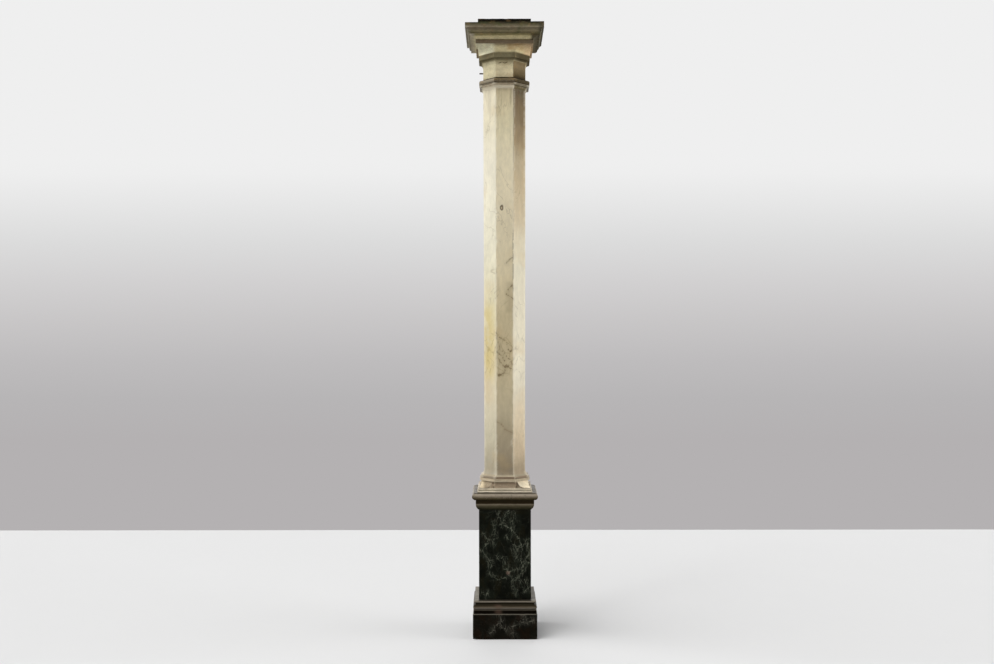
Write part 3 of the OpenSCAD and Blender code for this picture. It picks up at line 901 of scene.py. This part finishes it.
def floor_paint():
    """Pale floor that keeps shadows, and throws back less light than the camera sees of it."""
    n = Paint("floor")
    seen = n.new("ShaderNodeLightPath").outputs["Is Camera Ray"]
    n.base = n.mix(seen, colour(*[FLOOR_BOUNCE] * 3), colour(*[FLOOR_GREY] * 3))
    n.shade(n.noise(0.4), 0.997, 1.003)
    return n.finish(0.9, ((n.noise(0.01), 0.02),), 0.0)


# ---- the column ----

# How a block is weathered unless its look says otherwise: depths, sizes and reaches in metres. Chips are
# rarer with a higher chip_from, edges are softer with more wear and passes, and bed is a rough tooled top.
PLAIN = {
    "blunt": 0.9 * MM,
    "swell": 0.35 * MM,
    "pits": 0.12 * MM,
    "chip": 2.0 * MM,
    "chip_reach": 2.6 * MM,
    "chip_size": 24 * MM,
    "chip_flow": 1.0,
    "chip_from": 0.66,
    "wear": 0.8,
    "passes": 4,
    "knocks": (),
    "carved": (),
    "breaks": (),
    "bed": False,
    "wander": 6 * MM,
}


def worn(**changes):
    """The plain weathering with some of its settings changed."""
    return {**PLAIN, **changes}


def on_face(node, paths):
    """Lines drawn on a block's front, from shares of its width and height."""
    low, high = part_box(node)
    size = high - low
    return [[(low.x + u * size.x, low.y, low.z + v * size.z) for u, v in path] for path in paths]


def on_shaft(paths):
    """Lines on the shaft's front facet, from shares of its half width and metres above its foot."""
    return [[(u * FACET_X, FACET_Y, SHAFT_LOW.z + v) for u, v in path] for path in paths]


SHAFT_VEINS = (
    ((-0.95, 0.666), (-0.42, 0.639), (0.16, 0.615), (0.95, 0.597)),
    ((-1.0, 0.579), (-0.56, 0.564), (-0.2, 0.549), (0.24, 0.513), (0.95, 0.489)),
    ((-0.92, 0.558), (-0.48, 0.531), (0.02, 0.507), (0.46, 0.516), (0.8, 0.520)),
    ((-0.42, 0.579), (0.02, 0.567), (0.32, 0.549), (0.7, 0.543), (0.95, 0.519)),
    ((0.16, 0.611), (0.3, 0.585), (0.72, 0.573), (0.95, 0.592)),
    ((-0.95, 0.645), (-0.6, 0.620), (-0.7, 0.591), (-0.95, 0.572)),
    ((0.02, 0.507), (0.0, 0.484), (-0.4, 0.474), (-0.8, 0.472), (-0.6, 0.462), (-0.3, 0.474)),
    ((0.9, 0.874), (0.16, 0.839), (0.95, 0.809)),
    ((0.97, 1.002), (0.5, 0.985), (0.2, 0.972)),
    ((-1.0, 0.260), (-0.4, 0.245), (0.4, 0.216), (0.95, 0.203)),
)
DIE_VEINS = (
    ((0.36, 0.99), (0.42, 0.92), (0.48, 0.905), (0.54, 0.96), (0.58, 0.99)),
    ((0.66, 0.99), (0.67, 0.87), (0.63, 0.80)),
    ((0.42, 0.84), (0.53, 0.81), (0.64, 0.78), (0.73, 0.72), (0.79, 0.66), (0.83, 0.60)),
    ((0.62, 0.79), (0.64, 0.70)),
    ((0.32, 0.88), (0.30, 0.74), (0.29, 0.66), (0.31, 0.61)),
    ((0.66, 0.57), (0.72, 0.51), (0.74, 0.44)),
    ((0.37, 0.47), (0.48, 0.45), (0.52, 0.38), (0.56, 0.30), (0.66, 0.21), (0.70, 0.13), (0.75, 0.04)),
    ((0.03, 0.56), (0.16, 0.47), (0.23, 0.39), (0.20, 0.30), (0.36, 0.23), (0.5, 0.24)),
    ((0.56, 0.30), (0.70, 0.33), (0.80, 0.35), (0.87, 0.41), (0.98, 0.41)),
    ((0.74, 0.25), (0.83, 0.33), (0.87, 0.44), (0.98, 0.55)),
    ((0.87, 0.23), (0.97, 0.12)),
    ((0.05, 0.09), (0.11, 0.04), (0.16, 0.08)),
    ((0.70, 0.60), (0.76, 0.50), (0.80, 0.42), (0.86, 0.36)),
    ((0.80, 0.60), (0.86, 0.52), (0.93, 0.46)),
    ((0.93, 0.64), (0.96, 0.52), (0.88, 0.44)),
    ((0.62, 0.22), (0.70, 0.26), (0.78, 0.22), (0.84, 0.14), (0.93, 0.08)),
    ((0.10, 0.72), (0.17, 0.66), (0.12, 0.60)),
    ((0.50, 0.90), (0.45, 0.84), (0.42, 0.84)),
    ((0.56, 0.70), (0.66, 0.62), (0.70, 0.60)),
)
FOOT_VEINS = (
    ((0.38, 0.99), (0.40, 0.66), (0.44, 0.53), (0.40, 0.41), (0.49, 0.29), (0.60, 0.17), (0.65, 0.04)),
    ((0.26, 0.16), (0.33, 0.29), (0.38, 0.38)),
    ((0.60, 0.34), (0.70, 0.40), (0.80, 0.50), (0.78, 0.99)),
    ((0.76, 0.56), (0.83, 0.44), (0.94, 0.53)),
)
NECK_CRACK = (
    (-27 * MM, -97 * MM, TOP - 0.196), (-12 * MM, -97 * MM, TOP - 0.190),
    (2 * MM, -97 * MM, TOP - 0.195), (14 * MM, -97 * MM, TOP - 0.189),
)


def under_tongues(flat):
    """Deepens the hollow of the column base below the tongues that fill its corners."""
    up = flat[:, 2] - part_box("column_base")[0].z - HOLLOW_FOOT
    across = np.minimum(np.abs(flat[:, 0]), np.abs(flat[:, 1]) + TONGUE_SIDE)
    tongue = TONGUE_RISE * np.exp((TONGUE_FROM - across) / TONGUE_FALL)
    inside = smooth(up / (2 * MM)) * smooth((26 * MM - up) / (4 * MM))
    return 4.5 * MM * inside * smooth((tongue - up) / (2 * MM)) * (across > TONGUE_FROM - 5 * MM)


def make_pedestal():
    """The pedestal's three stones, from the floor up."""
    stone(
        "pedestal_base", foot_marble(), seed=11, step=3.0 * MM, per_face=40, per_diagonal=3, rings=3,
        look=worn(
            chip=2.4 * MM, chip_from=0.70, swell=0.3 * MM,
            knocks=(
                ((-145 * MM, -145 * MM, 0), (14 * MM, 14 * MM, 9 * MM), 4 * MM),
                ((145 * MM, -145 * MM, 0), (8 * MM, 8 * MM, 6 * MM), 3 * MM),
            ),
        ),
        veins=on_face("pedestal_base", FOOT_VEINS),
    )
    stone(
        "pedestal_die", die_marble(), seed=23, step=4.0 * MM, per_face=52, per_diagonal=3, rings=2,
        look=worn(chip=1.4 * MM, chip_from=0.70, swell=0.25 * MM, pits=0.06 * MM, wear=0.6),
        veins=on_face("pedestal_die", DIE_VEINS),
    )
    stone(
        "pedestal_cap", cap_marble(), seed=37, step=2.0 * MM, per_face=44, per_diagonal=3, rings=3,
        look=worn(chip=2.2 * MM, chip_from=0.68),
    )


def make_column_base():
    """The column base, hollowed between its mouldings."""
    stone(
        "column_base", base_marble(), seed=41, step=1.4 * MM, per_face=36, per_diagonal=18, rings=3,
        look=worn(chip=2.0 * MM, chip_from=0.64, swell=0.5 * MM, passes=3, carved=(under_tongues,)),
    )


def make_shaft():
    """The shaft, with knocks on the front's arrises and round the plug."""
    arris = FACET_X + 0.5 * MM
    foot = SHAFT_LOW.z
    stone(
        "shaft", shaft_marble(), seed=53, step=4.2 * MM, per_face=12, per_diagonal=10, rings=2,
        look=worn(
            chip=1.6 * MM, chip_from=0.72, chip_flow=0.35, swell=0.4 * MM, wear=0.6, passes=2,
            knocks=(
                ((-arris, FACET_Y, foot + 1.216), (9 * MM, 9 * MM, 34 * MM), 2.2 * MM),
                ((-arris, FACET_Y, foot + 1.08), (6 * MM, 6 * MM, 12 * MM), 1.6 * MM),
                ((arris, FACET_Y, foot + 0.165), (7 * MM, 7 * MM, 16 * MM), 2.2 * MM),
                (PLUG, (8 * MM, 8 * MM, 12 * MM), 1.6 * MM),
            ),
        ),
        veins=on_shaft(SHAFT_VEINS),
    )


def make_capital():
    """The capital, broken away low at the back right, and rough tooled on top."""
    corner = (HALF_ABACUS, 140 * MM, TOP - 55 * MM)
    stone(
        "capital", capital_marble(), seed=67, step=2.6 * MM, per_face=40, per_diagonal=14, rings=16,
        look=worn(
            chip=1.8 * MM, chip_reach=4.0 * MM, chip_size=38 * MM, chip_from=0.70,
            swell=0.35 * MM, pits=0.25 * MM, wear=0.6, passes=2, bed=True,
            knocks=(
                ((-97 * MM, 0, PIN_Z), (3 * MM, 8 * MM, 8 * MM), 3.0 * MM),
                ((6 * MM, -120 * MM, TOP), (8 * MM, 40 * MM, 8 * MM), 4.0 * MM),
            ),
            breaks=((corner, (0.778, 0.262, -0.571), TOP - 96 * MM),),
            wander=1.5 * MM,
        ),
        veins=(NECK_CRACK,),
    )


def make_pin():
    """Stub of a rusted pin, rough all over and worn at its free end."""
    radius = (PIN_HIGH.z - PIN_LOW.z) / 2
    turn = np.linspace(2 * math.pi, 0, 29)[1:]
    stations = [(0, 0.1), (0, 0.5), (0, 0.85), (0.012, 0.97)]
    stations += [(t, 1.0) for t in np.linspace(0.04, 0.96, 34)]
    stations += [(0.985, 0.93), (0.996, 0.8), (1.0, 0.5), (1.0, 0.1)]
    grid = []
    for share, size in stations:
        x = PIN_HIGH.x + (PIN_LOW.x - PIN_HIGH.x) * share
        grid.append([(x, radius * size * math.cos(a), PIN_Z + radius * size * math.sin(a)) for a in turn])
    grid = np.array(grid)
    rough = lumps(grid.reshape(-1, 3), 2.6 * MM, 5).reshape(grid.shape[:2])
    rough += 0.6 * lumps(grid.reshape(-1, 3), 1.2 * MM, 6).reshape(grid.shape[:2])
    centre = np.array((0, 0, PIN_Z))
    spoke = (grid - centre) * (0, 1, 1)
    grid = grid - spoke * (0.16 * rough)[..., None]
    piece = closed_mesh("iron_pin_stub", grid, {})
    stand_for(piece, "iron_pin", rust())


# ---- stage, lamps and camera ----


def make_floor():
    """Wide pale floor with a straight edge behind the column."""
    reach, far = 14.0, 2.52
    mesh = bpy.data.meshes.new("floor")
    corners = [(-reach, -reach, 0), (reach, -reach, 0), (reach, far, 0), (-reach, far, 0)]
    mesh.from_pydata(corners, [], [(0, 1, 2, 3)])
    floor = bpy.data.objects.new("floor", mesh)
    bpy.context.scene.collection.objects.link(floor)
    mesh.materials.append(floor_paint())


def make_lamp(name, bearing, height, strength, spread):
    """Soft distant lamp: bearing in degrees left of the front, height in degrees above the floor."""
    data = bpy.data.lights.new(name, "SUN")
    data.energy = strength * math.pi
    data.angle = math.radians(spread)
    lamp = bpy.data.objects.new(name, data)
    a, e = math.radians(bearing), math.radians(height)
    away = Vector((math.sin(a) * math.cos(e), math.cos(a) * math.cos(e), -math.sin(e)))
    lamp.rotation_euler = away.to_track_quat("-Z", "Y").to_euler()
    bpy.context.scene.collection.objects.link(lamp)


def make_world():
    """Plain pale light, and behind the floor a grey backdrop that grows lighter upwards."""
    world = bpy.data.worlds.new("studio")
    bpy.context.scene.world = world
    world.use_nodes = True
    n = Nodes(world.node_tree)
    x, y, z = n.parts(n.new("ShaderNodeTexCoord").outputs["Generated"])
    slope = n.math("DIVIDE", z, n.math("MAXIMUM", n.absolute(x), n.absolute(y)))
    backdrop = n.ramp(
        slope,
        (
            (-0.100, 180, 177, 178), (-0.062, 183, 181, 182), (-0.026, 190, 188, 189),
            (0.011, 200, 198, 198.5), (0.048, 210, 208.5, 209), (0.086, 220, 220, 220),
            (0.122, 231, 231, 231), (0.148, 238, 238, 238), (0.160, 239, 239, 239),
        ),
    )
    shown = n.fill(n.new("ShaderNodeBackground"), backdrop, 1.0)[0]
    light = n.fill(n.new("ShaderNodeBackground"), (1, 1, 1, 1), SKY)[0]
    ray = n.new("ShaderNodeLightPath").outputs
    seen = n.math("ADD", ray["Is Camera Ray"], ray["Is Glossy Ray"])
    seen = n.math("MINIMUM", n.math("ADD", seen, ray["Is Transmission Ray"]), 1.0)
    both = n.fill(n.new("ShaderNodeMixShader"), seen, light, shown)[0]
    n.fill(n.new("ShaderNodeOutputWorld"), both)


def make_camera():
    """Level camera a little left of the column's axis, rolled by a hair."""
    data = bpy.data.cameras.new("camera")
    data.lens = 38.8
    data.sensor_width = 36.0
    camera = bpy.data.objects.new("camera", data)
    camera.location = EYE
    level, roll = math.radians(90), math.radians(0.06)
    camera.rotation_euler = (level, roll, 0)
    bpy.context.scene.collection.objects.link(camera)
    bpy.context.scene.camera = camera


make_pedestal()
make_column_base()
make_shaft()
make_capital()
make_pin()
make_floor()
make_world()
make_lamp("key", bearing=75, height=36, strength=0.78, spread=62)
make_lamp("high", bearing=30, height=55, strength=0.28, spread=28)
make_lamp("fill", bearing=-84, height=5, strength=0.86, spread=50)
make_lamp("back", bearing=180, height=12, strength=0.45, spread=70)
make_camera()
bpy.context.scene.view_settings.view_transform = "Standard"

bpy.context.view_layer.update()
